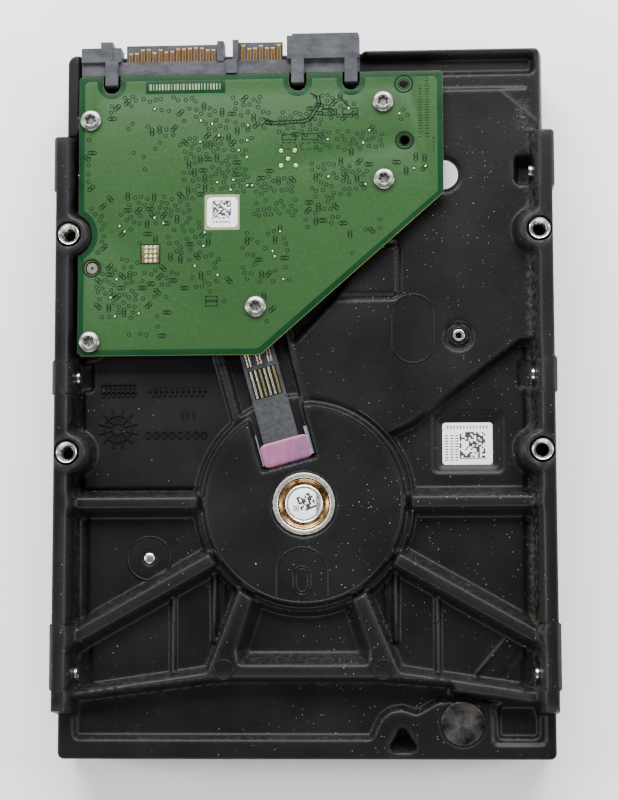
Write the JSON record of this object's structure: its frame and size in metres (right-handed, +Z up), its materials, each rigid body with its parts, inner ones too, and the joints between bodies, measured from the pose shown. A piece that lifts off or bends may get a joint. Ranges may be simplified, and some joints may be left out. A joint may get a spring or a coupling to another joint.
{
  "type": "hard disk drive",
  "caption": "Desktop hard disk drive: ribbed black casting with side rails, pressed cover, circuit board with drive connector, spindle motor, platter, swinging head arm and parking ramp.",
  "frame": {"origin": "on the resting surface under the middle of the outline, with the drive lying on its cover", "axes": "+X across the drive to the right with the board side up and the connector away, +Y along the drive to the connector end, +Z up out of the board side"},
  "size_m": [0.1016, 0.147, 0.0202],
  "materials": {
    "black_cast_aluminium": "black electrocoat, satin",
    "plain_steel_sheet": "satin",
    "bright_screw_steel": "zinc plated, bright",
    "stainless_spring": "bright rolled",
    "green_board": "solder mask over glass laminate, semi-gloss",
    "connector_plastic": "moulded, satin",
    "chip_resin": "moulded, matte",
    "contact_brass": "gold flashed, worn",
    "bearing_bronze": "turned, bright",
    "copper_wire": "enamelled copper wire",
    "foam": "open foam",
    "rubber_seal": "matte",
    "white_film": "printed film",
    "foil": "dull foil",
    "grey_seal": "film seal",
    "flex_film": "polyimide film",
    "violet_adhesive": "cured adhesive",
    "filter_felt": "white felt",
    "machined_aluminium": "machined",
    "platter_mirror": "polished mirror",
    "core_steel": "laminated, coated",
    "magnet_nickel": "nickel plated",
    "ferrite": "bonded, matte",
    "ramp_resin": "acetal, satin",
    "latch_resin": "moulded, satin",
    "slider_ceramic": "ground"
  },
  "bodies": {
    "housing": {"base_casting": "black_cast_aluminium", "top_cover": "plain_steel_sheet", "magnet_yoke_upper": "plain_steel_sheet", "magnet_yoke_lower": "plain_steel_sheet", "cover_gasket": "rubber_seal", "crash_stop": "rubber_seal", "cover_label": "white_film", "board_tag": "white_film", "motor_tag": "white_film", "casting_tag": "white_film", "cover_screw_1": "bright_screw_steel", "cover_screw_2": "bright_screw_steel", "cover_screw_3": "bright_screw_steel", "cover_screw_4": "bright_screw_steel", "cover_screw_5": "bright_screw_steel", "cover_screw_6": "bright_screw_steel", "pivot_screw": "bright_screw_steel", "board_screw_1": "bright_screw_steel", "board_screw_2": "bright_screw_steel", "board_screw_3": "bright_screw_steel", "board_screw_4": "bright_screw_steel", "board_screw_5": "bright_screw_steel", "sleeve_ring": "bright_screw_steel", "pivot_shaft": "bright_screw_steel", "ramp_screw": "bright_screw_steel", "service_pin": "bright_screw_steel", "circuit_board": "green_board", "board_insulator": "foam", "drive_connector": "connector_plastic", "head_connector": "connector_plastic", "power_contacts": "contact_brass", "signal_contacts": "contact_brass", "service_pins": "contact_brass", "controller_chip": "chip_resin", "motor_driver_chip": "chip_resin", "motor_strip": "flex_film", "strip_adhesive": "violet_adhesive", "stator_core": "core_steel", "stator_windings": "copper_wire", "bearing_sleeve": "bearing_bronze", "arm_magnet_upper": "magnet_nickel", "arm_magnet_lower": "magnet_nickel", "parking_ramp": "ramp_resin", "seal_disc": "grey_seal", "foil_seal": "foil", "dust_filter": "filter_felt"},
    "rotor": {"motor_hub": "machined_aluminium", "spindle_shaft": "bright_screw_steel", "rotor_magnet": "ferrite", "platter": "platter_mirror", "disk_clamp": "machined_aluminium", "clamp_screw": "bright_screw_steel"},
    "arm": {"head_arm": "machined_aluminium", "pivot_bearing": "bright_screw_steel", "voice_coil": "copper_wire", "suspension_upper": "stainless_spring", "suspension_lower": "stainless_spring", "head_slider_upper": "slider_ceramic", "head_slider_lower": "slider_ceramic"},
    "latch": {"arm_latch": "latch_resin"}
  },
  "joints": [
    {"name": "spindle_spin", "type": "hinge", "parent": "housing", "child": "rotor", "pos_m": [0, -0.02269, 0.0065], "axis": [0, 0, 1], "continuous": true},
    {"name": "arm_swing", "type": "hinge", "parent": "housing", "child": "arm", "pos_m": [-0.02, 0.03101, 0.0065], "axis": [0, 0, -1], "range_deg": [0, 36]},
    {"name": "latch_swing", "type": "hinge", "parent": "housing", "child": "latch", "pos_m": [-0.03766, 0.02162, 0.0065], "axis": [0, 0, 1], "range_deg": [0, 8]}
  ]
}
